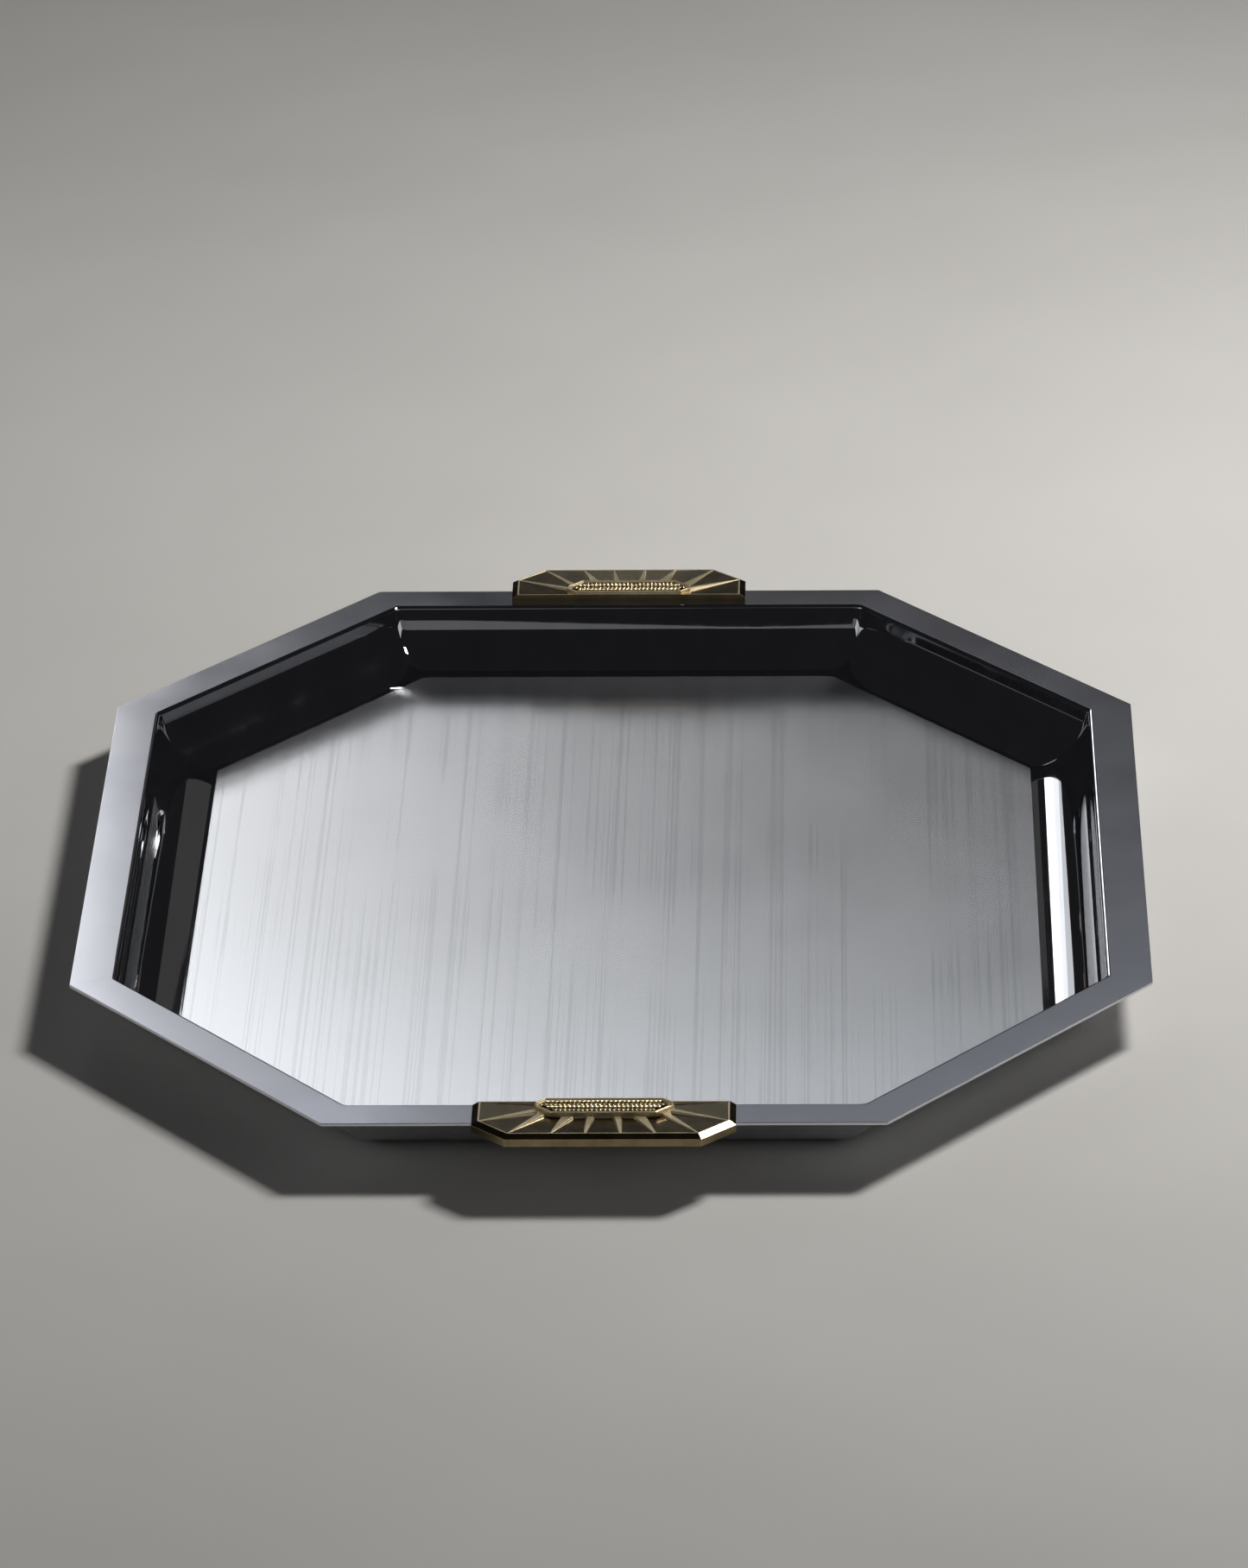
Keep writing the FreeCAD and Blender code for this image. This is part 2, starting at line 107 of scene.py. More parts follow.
# Inset and rise of the frame: outer ridge, groove, lower inner ridge, then the wires' field.
BADGE_SECTION = (
    (0.0, 0.0), (0.0, 1.0), (0.14, BADGE_RISE), (0.52, BADGE_RISE), (0.66, 1.0), (0.72, 0.42),
    (0.95, 0.42), (1.02, 0.85), (1.14, 0.98), (1.34, 0.98), (1.44, 0.85),
    (BADGE_BORDER, BADGE_FLOOR),
)
ROPE_ROWS = 4
ROPE_PITCH = 2.05
ROPE_RADIUS = 0.98
STRAND_RADIUS = 0.54
ROPE_PRESS = 0.58           # height of the pressed wires per unit of their full height
ROPE_TWIST = 2.9            # length of one full turn of the twisted wires
STRAND_SIDES = 8
STEPS_PER_TURN = 12
WIRE_SHARP_ANGLE = 60       # degrees
# Heights and colour of the painted shade that darkens the low parts of the twisted wires.
HOLLOW_SHADE_HEIGHTS = (PLATE_TOP + 0.75, PLATE_TOP + 1.25)  # fully dark below, fully bright above
HOLLOW_SHADE_COLOUR = (0.05, 0.038, 0.02)


# ---------------------------------------------------------------- materials

def new_material(name):
    material = bpy.data.materials.new(name)
    material.use_nodes = True
    nodes = material.node_tree.nodes
    nodes.clear()
    output = nodes.new("ShaderNodeOutputMaterial")
    shader = nodes.new("ShaderNodeBsdfPrincipled")
    material.node_tree.links.new(shader.outputs["BSDF"], output.inputs["Surface"])
    return material, shader


def noise(material, scale, stretch=(1, 1, 1), detail=3.0, rough=0.55):
    """Noise in the object's own coordinates; scale is in features per metre."""
    nodes = material.node_tree.nodes
    link = material.node_tree.links.new
    place = nodes.new("ShaderNodeTexCoord")
    mapping = nodes.new("ShaderNodeMapping")
    mapping.inputs["Scale"].default_value = stretch
    texture = nodes.new("ShaderNodeTexNoise")
    texture.inputs["Scale"].default_value = scale
    texture.inputs["Detail"].default_value = detail
    texture.inputs["Roughness"].default_value = rough
    link(place.outputs["Object"], mapping.inputs["Vector"])
    link(mapping.outputs["Vector"], texture.inputs["Vector"])
    return texture.outputs["Fac"]


def spread(material, source, low, high, start=0.3, end=0.7):
    """Map a 0 to 1 texture value onto a range of numbers."""
    node = material.node_tree.nodes.new("ShaderNodeMapRange")
    node.inputs["From Min"].default_value = start
    node.inputs["From Max"].default_value = end
    node.inputs["To Min"].default_value = low
    node.inputs["To Max"].default_value = high
    material.node_tree.links.new(source, node.inputs["Value"])
    return node.outputs["Result"]


def colour_between(material, source, low, high, start=0.3, end=0.7):
    """Map a 0 to 1 texture value onto a range of colours."""
    ramp = material.node_tree.nodes.new("ShaderNodeValToRGB")
    ramp.color_ramp.elements[0].position = start
    ramp.color_ramp.elements[0].color = (*low, 1)
    ramp.color_ramp.elements[1].position = end
    ramp.color_ramp.elements[1].color = (*high, 1)
    material.node_tree.links.new(source, ramp.inputs["Fac"])
    return ramp.outputs["Color"]


def add_values(material, first, second, weight):
    """The first value plus the weighted second."""
    node = material.node_tree.nodes.new("ShaderNodeMath")
    node.operation = "MULTIPLY_ADD"
    node.inputs[1].default_value = weight
    material.node_tree.links.new(second, node.inputs[0])
    material.node_tree.links.new(first, node.inputs[2])
    return node.outputs["Value"]


def add_bump(material, shader, height, distance):
    """Bump by a 0 to 1 height; distance is its full depth in metres."""
    bump = material.node_tree.nodes.new("ShaderNodeBump")
    bump.inputs["Distance"].default_value = distance
    material.node_tree.links.new(height, bump.inputs["Height"])
    material.node_tree.links.new(bump.outputs["Normal"], shader.inputs["Normal"])


def colour_and_roughen(material, shader, colour, roughness):
    material.node_tree.links.new(colour, shader.inputs["Base Color"])
    material.node_tree.links.new(roughness, shader.inputs["Roughness"])


def polished_steel(name):
    """Mirror wall: faint ripples of the pressing and a few soft wipe marks."""
    material, shader = new_material(name)
    shader.inputs["Metallic"].default_value = 1.0
    ripple = noise(material, 34, detail=2.0)
    wipe = noise(material, 90, (1, 0.12, 1), 4.0, 0.6)
    colour = colour_between(material, wipe, (0.60, 0.61, 0.64), (0.68, 0.69, 0.72))
    colour_and_roughen(material, shader, colour, spread(material, wipe, 0.03, 0.065, 0.45, 0.75))
    add_bump(material, shader, ripple, 0.00002)
    return material


def satin_steel():
    """Flange: fine polish with a soft sheen and slight handling marks."""
    material, shader = new_material("steel_satin")
    shader.inputs["Metallic"].default_value = 1.0
    cloud = noise(material, 22)
    fine = noise(material, 900, detail=2.0)
    colour = colour_between(material, cloud, (0.60, 0.60, 0.65), (0.67, 0.67, 0.71))
    marks = add_values(material, cloud, fine, 0.4)
    colour_and_roughen(material, shader, colour, spread(material, marks, 0.15, 0.21, 0.4, 1.0))
    add_bump(material, shader, add_values(material, cloud, fine, 0.004), 0.00004)
    return material


def brushed_steel():
    """Well floor: satin finish brushed along the tray's length."""
    material, shader = new_material("steel_brushed")
    shader.inputs["Metallic"].default_value = 1.0
    shader.inputs["Anisotropic"].default_value = 0.97
    tangent = material.node_tree.nodes.new("ShaderNodeTangent")
    tangent.direction_type = "UV_MAP"
    tangent.uv_map = "plan"
    material.node_tree.links.new(tangent.outputs["Tangent"], shader.inputs["Tangent"])
    hair = noise(material, 1100, (1, 0.0012, 1), 1.0)
    line = noise(material, 380, (1, 0.002, 1), 2.0, 0.6)
    cloud = noise(material, 14, (1, 0.6, 1))
    lines = add_values(material, line, hair, 0.8)
    tone = add_values(material, lines, cloud, 0.35)
    colour = colour_between(material, tone, (0.81, 0.815, 0.83), (0.90, 0.905, 0.92), 0.93, 1.22)
    colour_and_roughen(material, shader, colour, spread(material, cloud, 0.220, 0.238, 0.35, 0.65))
    return material


def darken_below(material, colour, low_height, high_height, shade):
    """Painted shade in the hollows, between two heights in millimetres."""
    nodes = material.node_tree.nodes
    link = material.node_tree.links.new
    place = nodes.new("ShaderNodeTexCoord")
    parts = nodes.new("ShaderNodeSeparateXYZ")
    link(place.outputs["Object"], parts.inputs["Vector"])
    height = spread(material, parts.outputs["Z"], 0.0, 1.0, low_height * MM, high_height * MM)
    mix = nodes.new("ShaderNodeMix")
    mix.data_type = "RGBA"
    mix.inputs["A"].default_value = (*shade, 1)
    link(height, mix.inputs["Factor"])
    link(colour, mix.inputs["B"])
    return mix.outputs["Result"]


def brass(name, low, high, rough_low, rough_high, bump_height, hollow_shade_heights=None):
    """Aged brass between two colours; below `hollow_shade_heights` the hollows get painted shade.
    """
    material, shader = new_material(name)
    shader.inputs["Metallic"].default_value = 1.0
    patch = noise(material, 160, detail=4.0, rough=0.6)
    grain = noise(material, 2600, detail=2.0)
    colour = colour_between(material, patch, low, high)
    # Painted shade: the low parts of the hollows turn dark.
    if hollow_shade_heights:
        colour = darken_below(material, colour, *hollow_shade_heights, HOLLOW_SHADE_COLOUR)
    wear = add_values(material, patch, grain, 0.5)
    roughness = spread(material, wear, rough_low, rough_high, 0.4, 1.1)
    colour_and_roughen(material, shader, colour, roughness)
    add_bump(material, shader, add_values(material, grain, patch, 1.5), bump_height)
    return material


def floor_material():
    material, shader = new_material("studio_floor")
    tone = colour_between(material, noise(material, 6), (0.70, 0.69, 0.67), (0.74, 0.73, 0.71))
    material.node_tree.links.new(tone, shader.inputs["Base Color"])
    shader.inputs["Roughness"].default_value = 0.85
    shader.inputs["Specular IOR Level"].default_value = 0.1
    return material


STEEL_POLISHED = polished_steel("steel_polished")
STEEL_SATIN = satin_steel()
STEEL_BRUSHED = brushed_steel()
# The facets' brass is painted much darker than the ribs' brass: painted shade on the sunken facets,
# the plate's bevel band and the badge's field.
BRASS_FACET_SHADE = brass("brass_facet_shade", (0.20, 0.156, 0.085), (0.30, 0.235, 0.13), 0.12, 0.20, 0.000004)
# The ribs' lighter, rougher brass also covers every rounded edge: painted highlight lines.
BRASS_RIB_HIGHLIGHT = brass("brass_rib_highlight", (0.78, 0.64, 0.40), (0.90, 0.78, 0.55), 0.34, 0.46, 0.00001)
BRASS_PAIR = (BRASS_RIB_HIGHLIGHT, BRASS_FACET_SHADE)  # in the order of the slots RIB and FACET
# The wires' brass gets painted shade below a height, in the hollows between them.
BRASS_ROPE = brass(
    "brass_rope", (0.62, 0.47, 0.24), (0.88, 0.72, 0.44), 0.18, 0.30, 0.00001, HOLLOW_SHADE_HEIGHTS
)


# ---------------------------------------------------------------- mesh helpers

def finish_piece(name, mesh_builder, materials, node):
    """Turn a bmesh in millimetres into a piece that stands for a CAD node."""
    bmesh.ops.recalc_face_normals(mesh_builder, faces=mesh_builder.faces)
    bmesh.ops.transform(mesh_builder, matrix=Matrix.Scale(MM, 4), verts=mesh_builder.verts)
    mesh = bpy.data.meshes.new(name)
    mesh_builder.to_mesh(mesh)
    mesh_builder.free()
    piece = bpy.data.objects.new(name, mesh)
    bpy.context.scene.collection.objects.link(piece)
    for material in materials:
        mesh.materials.append(material)
    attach(piece, "root")
    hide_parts(node)
    return piece


def smooth_except(piece, angle_degrees):
    """Shade smooth, but keep edges sharper than the angle crisp."""
    mesh = piece.data
    mesh.shade_smooth()
    mesh.set_sharp_from_angle(angle=math.radians(angle_degrees))


def soften_edges(piece, width, segments=2, angle_degrees=25):
    """Round the edges and give the rounding the ribs' lighter, rougher brass: painted highlight
    lines along every edge.
    """
    bevel = piece.modifiers.new("soft_edges", "BEVEL")
    # The rounding gets the lighter brass: painted highlight lines.
    bevel.material = RIB
    bevel.width = width * MM
    bevel.segments = segments
    bevel.limit_method = "ANGLE"
    bevel.angle_limit = math.radians(angle_degrees)
    bevel.harden_normals = True


def bridge(builder, ring_a, ring_b, material_index):
    """Four-cornered faces between two closed rings of as many points."""
    count = len(ring_a)
    for i in range(count):
        j = (i + 1) % count
        face = builder.faces.new((ring_a[i], ring_a[j], ring_b[j], ring_b[i]))
        face.material_index = material_index


def inset_outline(corners, inset):
    """Counterclockwise outline moved inward by one distance on every side."""
    count = len(corners)
    lines = []
    for i in range(count):
        start, end = Vector(corners[i]), Vector(corners[(i + 1) % count])
        along = (end - start).normalized()
        inward = Vector((-along.y, along.x))
        lines.append((start + inward * inset, along))
    moved = []
    for i in range(count):
        point_a, dir_a = lines[i - 1]
        point_b, dir_b = lines[i]
        cross = dir_a.x * dir_b.y - dir_a.y * dir_b.x
        gap = point_b - point_a
        reach = (gap.x * dir_b.y - gap.y * dir_b.x) / cross
        moved.append(point_a + dir_a * reach)
    return moved


def round_corners(corners, radius, steps):
    """Outline with each corner replaced by an arc of steps + 1 points."""
    count = len(corners)
    points = []
    for i in range(count):
        before = (Vector(corners[i - 1]) - Vector(corners[i])).normalized()
        after = (Vector(corners[(i + 1) % count]) - Vector(corners[i])).normalized()
        half_angle = before.angle(after) / 2
        bisector = (before + after).normalized()
        centre = Vector(corners[i]) + bisector * (radius / math.sin(half_angle))
        start = Vector(corners[i]) + before * (radius / math.tan(half_angle))
        sweep = math.pi - 2 * half_angle
        arm = start - centre
        for step in range(steps + 1):
            turn = sweep * step / steps
            cosine, sine = math.cos(turn), math.sin(turn)
            turned = Vector((arm.x * cosine - arm.y * sine, arm.x * sine + arm.y * cosine))
            points.append(centre + turned)
    return points


# ---------------------------------------------------------------- tray pan

TRAY_OUTLINE = (
    (HALF_WIDTH, -SIDE_HALF), (HALF_WIDTH, SIDE_HALF),
    (END_HALF, HALF_LENGTH), (-END_HALF, HALF_LENGTH),
    (-HALF_WIDTH, SIDE_HALF), (-HALF_WIDTH, -SIDE_HALF),
    (-END_HALF, -HALF_LENGTH), (END_HALF, -HALF_LENGTH),
)


def wall_section(thickness):
    """(inset, z) points from the lip's start to the floor, on the face `thickness` down."""
    lip = LIP_RADIUS - thickness
    cove = COVE_RADIUS + thickness
    lip_z = RIM_TOP - LIP_RADIUS
    cove_z = SHEET + COVE_RADIUS
    slope_rise = (lip_z - cove_z) * math.sin(WALL_DRAFT)
    shift = (LIP_RADIUS + COVE_RADIUS + slope_rise) / math.cos(WALL_DRAFT)
    points = []
    for step in range(LIP_STEPS + 1):
        turn = math.pi / 2 - (math.pi / 2 - WALL_DRAFT) * step / LIP_STEPS
        points.append((RIM_FLAT + lip * math.cos(turn), lip_z + lip * math.sin(turn)))
    for step in range(COVE_STEPS + 1):
        turn = WALL_DRAFT + (math.pi / 2 - WALL_DRAFT) * step / COVE_STEPS
        points.append((RIM_FLAT + shift - cove * math.cos(turn), cove_z - cove * math.sin(turn)))
    return points


def corner_radius(inset, floor_inset):
    """Plan radius of the corners: small at the rim's edge, largest at the lip."""
    if inset < RIM_FLAT:
        return RIM_CORNER + (WELL_CORNER - RIM_CORNER) * inset / RIM_FLAT
    blend = (inset - RIM_FLAT) / (floor_inset - RIM_FLAT)
    return WELL_CORNER + (FLOOR_CORNER - WELL_CORNER) * blend


def build_pan():
    """Closed shell of sheet: floor, wall and lip, over the rim's edge, and back underneath."""
    builder = bmesh.new()
    upper = wall_section(0)
    lower = wall_section(SHEET)
    floor_inset = upper[-1][0]
    edge = EDGE_ROUND
    middle = edge * ROUND_MIDDLE
    under = RIM_TOP - SHEET
    rim = [(0, RIM_TOP - edge), (middle, RIM_TOP - middle), (edge, RIM_TOP)]
    rim_low = [(edge, under), (middle, under + middle), (0, under + edge)]
    section = list(reversed(upper)) + list(reversed(rim)) + list(reversed(rim_low)) + lower
    rings = []
    for inset, height in section:
        outline = inset_outline(TRAY_OUTLINE, inset)
        plan = round_corners(outline, corner_radius(inset, floor_inset), CORNER_STEPS)
        rings.append([builder.verts.new((point.x, point.y, height)) for point in plan])
    rim_start = len(upper) - 1
    for i in range(len(rings) - 1):
        on_rim = rim_start <= i <= rim_start + len(rim)
        bridge(builder, rings[i], rings[i + 1], SATIN if on_rim else POLISHED)
    builder.faces.new(rings[0]).material_index = BRUSHED
    builder.faces.new(rings[-1]).material_index = BRUSHED
    plan_map = builder.loops.layers.uv.new("plan")
    for face in builder.faces:
        for loop in face.loops:
            loop[plan_map].uv = (loop.vert.co.x * MM, loop.vert.co.y * MM)
    piece = finish_piece(
        "pan_shell", builder, (STEEL_POLISHED, STEEL_SATIN, STEEL_BRUSHED), "tray_pan"
    )
    smooth_except(piece, PAN_SHARP_ANGLE)
    flatten = piece.modifiers.new("flat_faces_stay_flat", "WEIGHTED_NORMAL")
    flatten.weight = 100
    flatten.keep_sharp = True


# ---------------------------------------------------------------- handles

def to_end(builder, end):
    """Local handle coordinates (y outward from the plate's inner edge) to the tray's end."""
    bmesh.ops.translate(builder, vec=(0, PLATE_EDGE, 0), verts=builder.verts)
    if end == "front":
        bmesh.ops.rotate(builder, matrix=Matrix.Rotation(math.pi, 3, "Z"), verts=builder.verts)


def plate_outline(half, reach, cut):
    """Rectangle along the tray's end with its two outer corners cut off, counterclockwise."""
    return [
        (half, 0), (half, reach - cut), (half - cut, reach),
        (cut - half, reach), (-half, reach - cut), (-half, 0),
    ]


def rib_point(rib, end, side):
    """Corner of a rib at its tip or root, on one side (1 or -1) of its middle line."""
    tip, root, root_half = rib
    axis = (Vector(tip) - Vector(root)).normalized()
    across = Vector((axis.y, -axis.x)) * side
    if end == "tip":
        return Vector(tip) + across * RIB_TIP
    return Vector(root) + across * root_half


def facet_outlines():
    """Four-cornered facets between the ribs, counterclockwise from inner side to outer side."""
    end_x = PLATE_HALF - BEVEL_WIDTH - FACET_MARGIN
    right = [[
        Vector((RIBS[0][1][0], FACET_MARGIN)), Vector((end_x, FACET_MARGIN)),
        rib_point(RIBS[0], "tip", 1), rib_point(RIBS[0], "root", 1),
    ]]
    for rib, following in zip(RIBS, RIBS[1:]):
        right.append([
            rib_point(rib, "root", -1), rib_point(rib, "tip", -1),
            rib_point(following, "tip", 1), rib_point(following, "root", 1),
        ])
    left = [[Vector((-p.x, p.y)) for p in (f[3], f[2], f[1], f[0])] for f in right]
    root, tip = rib_point(RIBS[-1], "root", -1), rib_point(RIBS[-1], "tip", -1)
    middle = [root, tip, Vector((-tip.x, tip.y)), Vector((-root.x, root.y))]
    return right + [middle] + left


def sunken_facet(outline):
    """Corners of the tilted facet floor: shallow at the plate's edge, deep beside the badge."""
    inner = (outline[0] + outline[3]) / 2
    outer = (outline[1] + outline[2]) / 2
    axis = outer - inner

    def share_at(point):
        return (point - inner).dot(axis) / axis.length_squared

    def depth_at(share):
        return FACET_DEEP + (FACET_SHALLOW - FACET_DEEP) * share

    corners = []
    for i, point in enumerate(outline):
        before = (outline[i - 1] - point).normalized()
        after = (outline[(i + 1) % 4] - point).normalized()
        half_angle = before.angle(after) / 2
        run = depth_at(min(max(share_at(point), 0), 1)) * FACET_SIDE
        low = point + (before + after).normalized() * (run / math.sin(half_angle))
        corners.append((low.x, low.y, PLATE_TOP - depth_at(share_at(low))))
    return corners


def build_plate(end):
    """Sunburst plate: bevelled top with sunken facets, and a step that sits over the rim."""
    builder = bmesh.new()
    crown_cut = PLATE_CORNER - BEVEL_WIDTH * CUT_LOSS
    crown = plate_outline(PLATE_HALF - BEVEL_WIDTH, PLATE_REACH - BEVEL_WIDTH, crown_cut)
    base = plate_outline(PLATE_HALF, PLATE_REACH, PLATE_CORNER)
    outlines = facet_outlines()
    flat = [Vector(p) for p in crown] + [p for outline in outlines for p in outline]
    count = len(crown)
    loops = [list(range(count))]
    loops += [[count + 4 * k + i for i in range(4)] for k in range(len(outlines))]
    # Output type 1 keeps only the triangles inside the outlines.
    points, _, faces, _, _, origins = delaunay_2d_cdt(flat, [], loops, 1, MERGE_DISTANCE)
    top = [builder.verts.new((p.x, p.y, PLATE_TOP)) for p in points]
    for face, origin in zip(faces, origins):
        if all(source == 0 for source in origin):
            builder.faces.new([top[i] for i in face])
    bmesh.ops.dissolve_limit(
        builder, angle_limit=FLAT_ANGLE, verts=builder.verts, edges=builder.edges
    )

    def vertex_at(point):
        """The top's vertex at a plan point."""
        place = Vector((*point, PLATE_TOP))
        return min(builder.verts, key=lambda vertex: (vertex.co - place).length)

    for outline in outlines:
        rim = [vertex_at(p) for p in outline]
        sunk = [builder.verts.new(corner) for corner in sunken_facet(outline)]
        bridge(builder, rim, sunk, RIB)
        builder.faces.new(sunk).material_index = FACET
    crown_ring = [vertex_at(p) for p in crown]
    base_ring = [builder.verts.new((x, y, PLATE_TOP - BEVEL_DROP)) for x, y in base]
    bridge(builder, crown_ring, base_ring, FACET)
    step_y = HALF_LENGTH + STEP_GAP - PLATE_EDGE
    low = RIM_TOP - SHEET
    foot = [builder.verts.new((x, y, RIM_TOP if y == 0 else low)) for x, y in base]
    step = [
        builder.verts.new((x, step_y, z)) for z in (low, RIM_TOP) for x in (PLATE_HALF, -PLATE_HALF)
    ]
    sides = [(base_ring[i], base_ring[i + 1], foot[i + 1], foot[i]) for i in (1, 2, 3)]
    sides.append((base_ring[0], base_ring[1], foot[1], step[0], step[2], foot[0]))
    sides.append((base_ring[4], base_ring[5], foot[5], step[3], step[1], foot[4]))
    sides.append((base_ring[5], base_ring[0], foot[0], foot[5]))
    sides.append((foot[0], step[2], step[3], foot[5]))
    sides.append((step[2], step[0], step[1], step[3]))
    sides.append((step[0], foot[1], foot[2], foot[3], foot[4], step[1]))
    for side in sides:
        builder.faces.new(side).material_index = FACET
    to_end(builder, end)
    piece = finish_piece(
        end + "_sunburst_plate", builder, BRASS_PAIR, end + "_handle_plate"
    )
    soften_edges(piece, PLATE_SOFTENING)


def badge_outline():
    """Rectangle with cut corners, larger cuts on its outer side, counterclockwise."""
    half, reach = BADGE_HALF, BADGE_REACH
    low_cut, high_cut = BADGE_INNER_CUT, BADGE_OUTER_CUT
    return [
        (half - low_cut, 0), (half, low_cut), (half, reach - high_cut), (half - high_cut, reach),
        (high_cut - half, reach), (-half, reach - high_cut), (-half, low_cut), (low_cut - half, 0),
    ]


def build_badge(end):
    """Double-ridged frame around the field that the twisted wires lie in."""
    builder = bmesh.new()
    rings = []
    for inset, rise in BADGE_SECTION:
        outline = inset_outline(badge_outline(), inset)
        rings.append([builder.verts.new((p.x, p.y, PLATE_TOP + rise)) for p in outline])
    for ring, following in zip(rings, rings[1:]):
        bridge(builder, ring, following, RIB)
    builder.faces.new(rings[0])
    builder.faces.new(rings[-1]).material_index = FACET
    to_end(builder, end)
    piece = finish_piece(
        end + "_badge_rim", builder, BRASS_PAIR, end + "_badge_frame"
    )
    soften_edges(piece, BADGE_SOFTENING)


def rope_half(row):
    """Half length of a rope row inside the cut corners of the badge's field."""
    height = BADGE_REACH - 2 * BADGE_BORDER
    low_edge = height / 2 + (row - ROPE_ROWS / 2) * ROPE_PITCH
    high_edge = height / 2 - (row + 1 - ROPE_ROWS / 2) * ROPE_PITCH
    shrink = BADGE_BORDER * CUT_LOSS
    loss = max(0, BADGE_INNER_CUT - shrink - low_edge, BADGE_OUTER_CUT - shrink - high_edge)
    return BADGE_HALF - BADGE_BORDER - loss


def add_strand(builder, start, length, phase, hand):
    """One wire of a twisted pair along X, pressed to part of its height."""
    steps = round(length / ROPE_TWIST * STEPS_PER_TURN)
    lay = ROPE_RADIUS - STRAND_RADIUS
    previous = None
    for step in range(steps + 1):
        share = step / steps
        turn = phase + hand * 2 * math.pi * length * share / ROPE_TWIST
        cosine, sine = math.cos(turn), math.sin(turn)
        centre = Vector((0, lay * cosine, lay * sine))
        slant = Vector((ROPE_TWIST / (2 * math.pi), -lay * sine * hand, lay * cosine * hand))
        slant.normalize()
        side = slant.cross(Vector((0, cosine, sine))).normalized()
        out = side.cross(slant)
        ring = []
        for k in range(STRAND_SIDES):
            around = 2 * math.pi * k / STRAND_SIDES
            point = centre + (out * math.cos(around) + side * math.sin(around)) * STRAND_RADIUS
            x = start.x + min(max(length * share + point.x, 0), length)
            ring.append(builder.verts.new((x, start.y + point.y, start.z + point.z * ROPE_PRESS)))
        if previous:
            bridge(builder, previous, ring, 0)
        else:
            builder.faces.new(ring)
        previous = ring
    builder.faces.new(previous)


def build_ropes(end):
    """Rows of twisted wire side by side, every other row twisted the other way."""
    builder = bmesh.new()
    for row in range(ROPE_ROWS):
        half = rope_half(row)
        y = BADGE_REACH / 2 + (row + 0.5 - ROPE_ROWS / 2) * ROPE_PITCH
        start = Vector((-half, y, PLATE_TOP + BADGE_FLOOR + ROPE_RADIUS * ROPE_PRESS))
        hand = 1 if row % 2 else -1
        for strand in range(2):
            add_strand(builder, start, 2 * half, strand * math.pi, hand)
    to_end(builder, end)
    piece = finish_piece(
        end + "_twisted_wires", builder, (BRASS_ROPE,), end + "_rope_rows"
    )
    smooth_except(piece, WIRE_SHARP_ANGLE)


def dress_fasteners():
    """The screws and washers keep their CAD shape and get a steel of their own."""
    steel = polished_steel("steel_fastener")
    for name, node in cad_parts.items():
        if name.endswith(("_screws", "_washers")):
            node.data.materials.clear()
            node.data.materials.append(steel)


# ---------------------------------------------------------------- studio

LIGHT_TARGET = Vector((0, 0, 0.02))
LIGHT_DISTANCE = 5.0
FLOOR_SIZE = 10
WORLD_COLOUR = (0.012, 0.012, 0.013, 1)
KEY_PLACE = (0.62, 0.36, 1.02)
KEY_SIZE = 0.25
KEY_RADIANCE = 60
FILL_SIZE = (4.0, 1.8)
# Name, azimuth, elevation, width, height, radiance and tint of the boxes behind the tray. The
# floor, rim and walls mirror them at the photo's angle.
BACK_BOXES = (
    ("window", -13.9, 19.3, 1.02, 1.28, 0.80, (0.96, 0.98, 1.0)),
    ("window_middle", -12.1, 19.3, 0.74, 1.20, 0.58, (0.96, 0.98, 1.0)),
    ("window_bright", -10.5, 19.6, 0.48, 1.12, 1.4, (0.97, 0.98, 1.0)),
    ("window_top", -8.6, 26.3, 0.74, 0.28, 1.0, (0.94, 0.97, 1.0)),
    ("window_spill", 2, 26.9, 1.20, 0.27, 0.62, (0.86, 0.93, 1.0)),
    ("right_back", 7, 18, 1.5, 1.15, 0.045, (1.0, 0.95, 0.92)),
)
# Name, azimuth and radiance of the fill boxes, one on each side of the tray.
FILL_ELEVATION = 24
FILL_BOXES = (("side", 110, 0.55), ("front", 155, 0.12))


def aim(item, target):
    """Turn a light so that it shines at a point."""
    item.rotation_mode = "QUATERNION"
    item.rotation_quaternion = (item.location - Vector(target)).to_track_quat("Z", "Y")


def from_angles(azimuth, elevation, distance):
    """Point seen from the tray at an azimuth (0 along +Y, 90 along +X) and an elevation."""
    a, e = math.radians(azimuth), math.radians(elevation)
    return Vector((math.sin(a) * math.cos(e), math.cos(a) * math.cos(e), math.sin(e))) * distance


def add_softbox(name, place, width, height, radiance, tint=(1, 1, 1)):
    """Rectangular area light that faces the tray and stays out of the picture itself."""
    data = bpy.data.lights.new(name, "AREA")
    data.shape = "RECTANGLE"
    data.size = width
    data.size_y = height
    data.energy = radiance * width * height * math.pi
    data.color = tint
    item = bpy.data.objects.new(name, data)
    bpy.context.collection.objects.link(item)
    item.location = place
    item.visible_camera = False
    aim(item, LIGHT_TARGET)


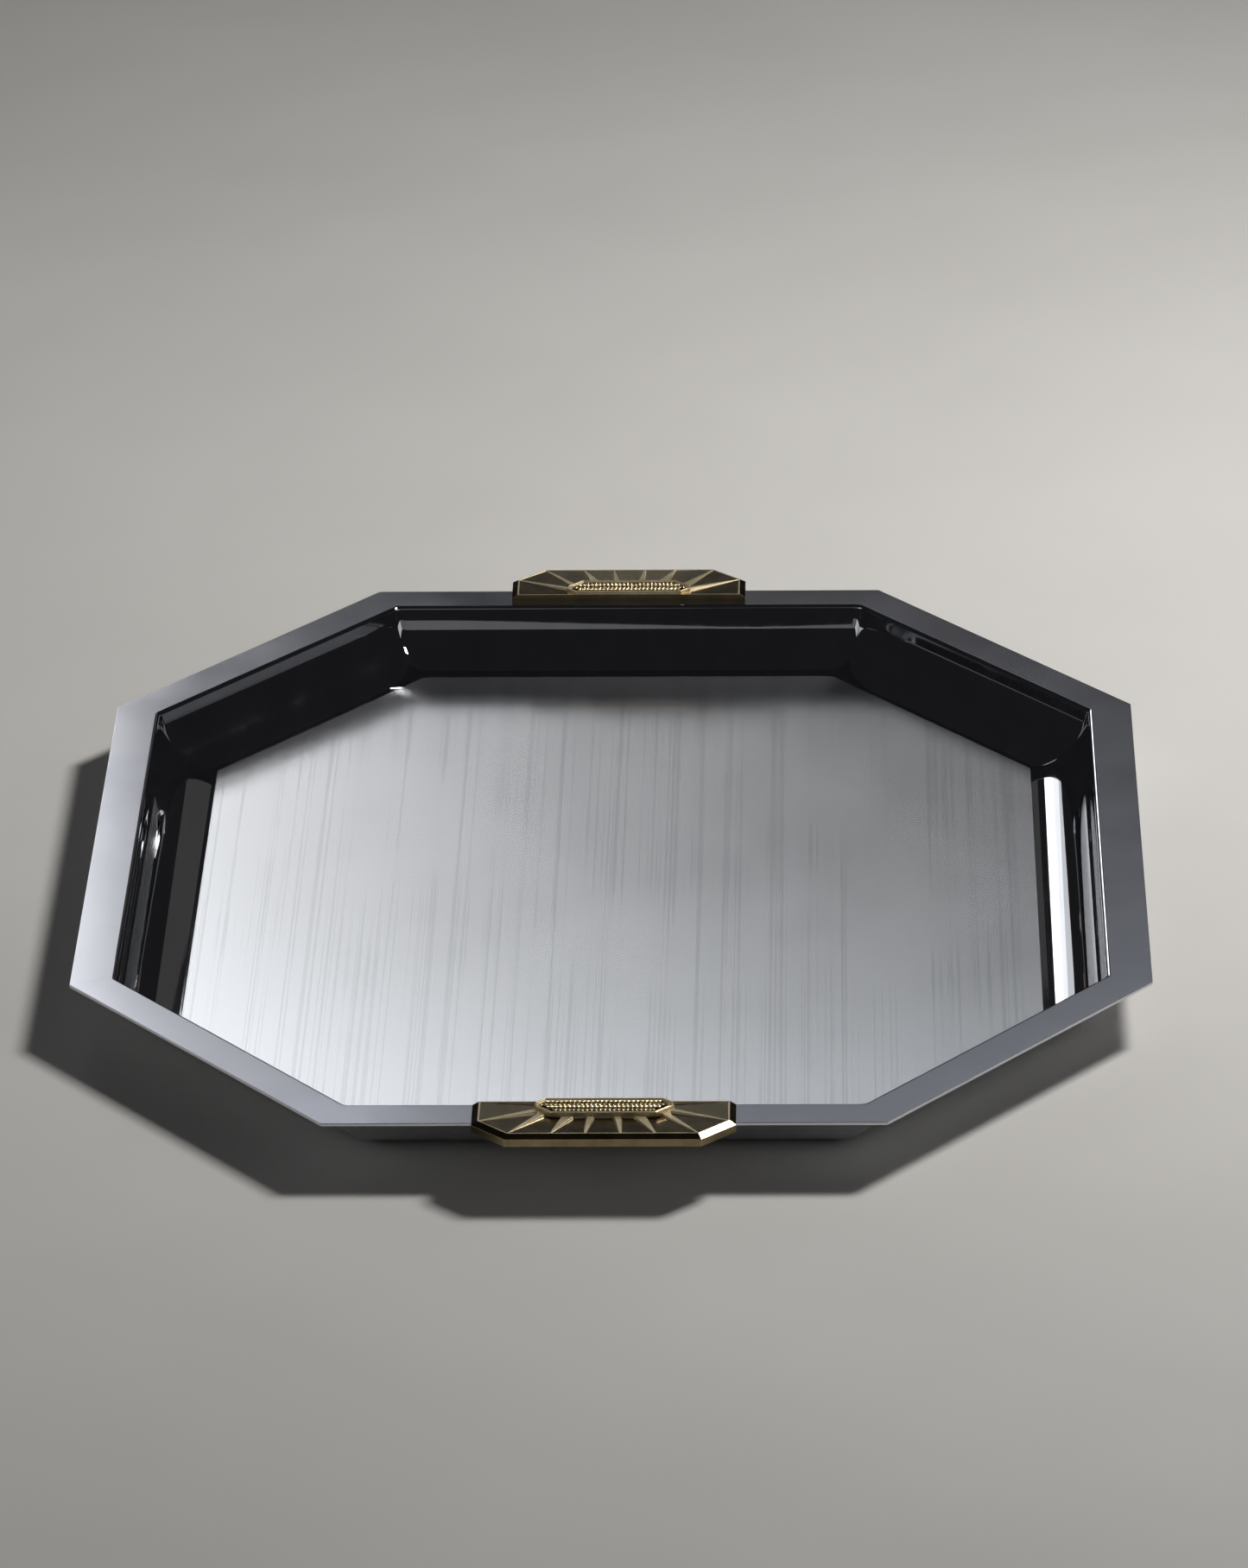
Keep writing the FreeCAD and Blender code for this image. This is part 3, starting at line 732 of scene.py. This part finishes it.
def build_studio():
    bpy.ops.mesh.primitive_plane_add(size=FLOOR_SIZE, location=(0, 0, 0))
    floor = bpy.context.object
    floor.name = "studio_floor"
    floor.data.materials.append(floor_material())
    world = bpy.data.worlds.new("studio")
    world.use_nodes = True
    world.node_tree.nodes["Background"].inputs["Color"].default_value = WORLD_COLOUR
    bpy.context.scene.world = world
    add_softbox("key", KEY_PLACE, KEY_SIZE, KEY_SIZE, KEY_RADIANCE, (1.0, 0.98, 0.95))
    for name, azimuth, elevation, width, height, radiance, tint in BACK_BOXES:
        place = from_angles(azimuth, elevation, LIGHT_DISTANCE)
        add_softbox(name, place, width, height, radiance, tint)
    for side, turn in (("right", 1), ("left", -1)):
        for name, azimuth, radiance in FILL_BOXES:
            place = from_angles(turn * azimuth, FILL_ELEVATION, LIGHT_DISTANCE)
            add_softbox(side + "_" + name, place, *FILL_SIZE, radiance)
    bpy.context.scene.view_settings.view_transform = "Standard"


# Metres and degrees, from fitting a pinhole camera to the outline's corners in the photo.
CAMERA_PLACE = Vector((0.0722, -3.0595, 1.3270))
CAMERA_YAW = math.radians(-1.304)
CAMERA_PITCH = math.radians(22.79)
CAMERA_ROLL = math.radians(-0.693)
CAMERA_LENS = 222.2         # millimetres, on the sensor below
SENSOR_WIDTH = 36


def build_camera():
    forward = Vector((
        math.sin(CAMERA_YAW) * math.cos(CAMERA_PITCH),
        math.cos(CAMERA_YAW) * math.cos(CAMERA_PITCH),
        -math.sin(CAMERA_PITCH),
    ))
    level = Vector((math.cos(CAMERA_YAW), -math.sin(CAMERA_YAW), 0))
    upright = level.cross(forward)
    right = level * math.cos(CAMERA_ROLL) + upright * math.sin(CAMERA_ROLL)
    up = upright * math.cos(CAMERA_ROLL) - level * math.sin(CAMERA_ROLL)
    data = bpy.data.cameras.new("camera")
    data.lens = CAMERA_LENS
    data.sensor_width = SENSOR_WIDTH
    data.clip_end = 50
    camera = bpy.data.objects.new("camera", data)
    turn = Matrix((right, up, -forward)).transposed().to_4x4()
    camera.matrix_world = Matrix.Translation(CAMERA_PLACE) @ turn
    bpy.context.scene.collection.objects.link(camera)
    bpy.context.scene.camera = camera


build_pan()
for tray_end in ("back", "front"):
    build_plate(tray_end)
    build_badge(tray_end)
    build_ropes(tray_end)
dress_fasteners()
build_studio()
build_camera()
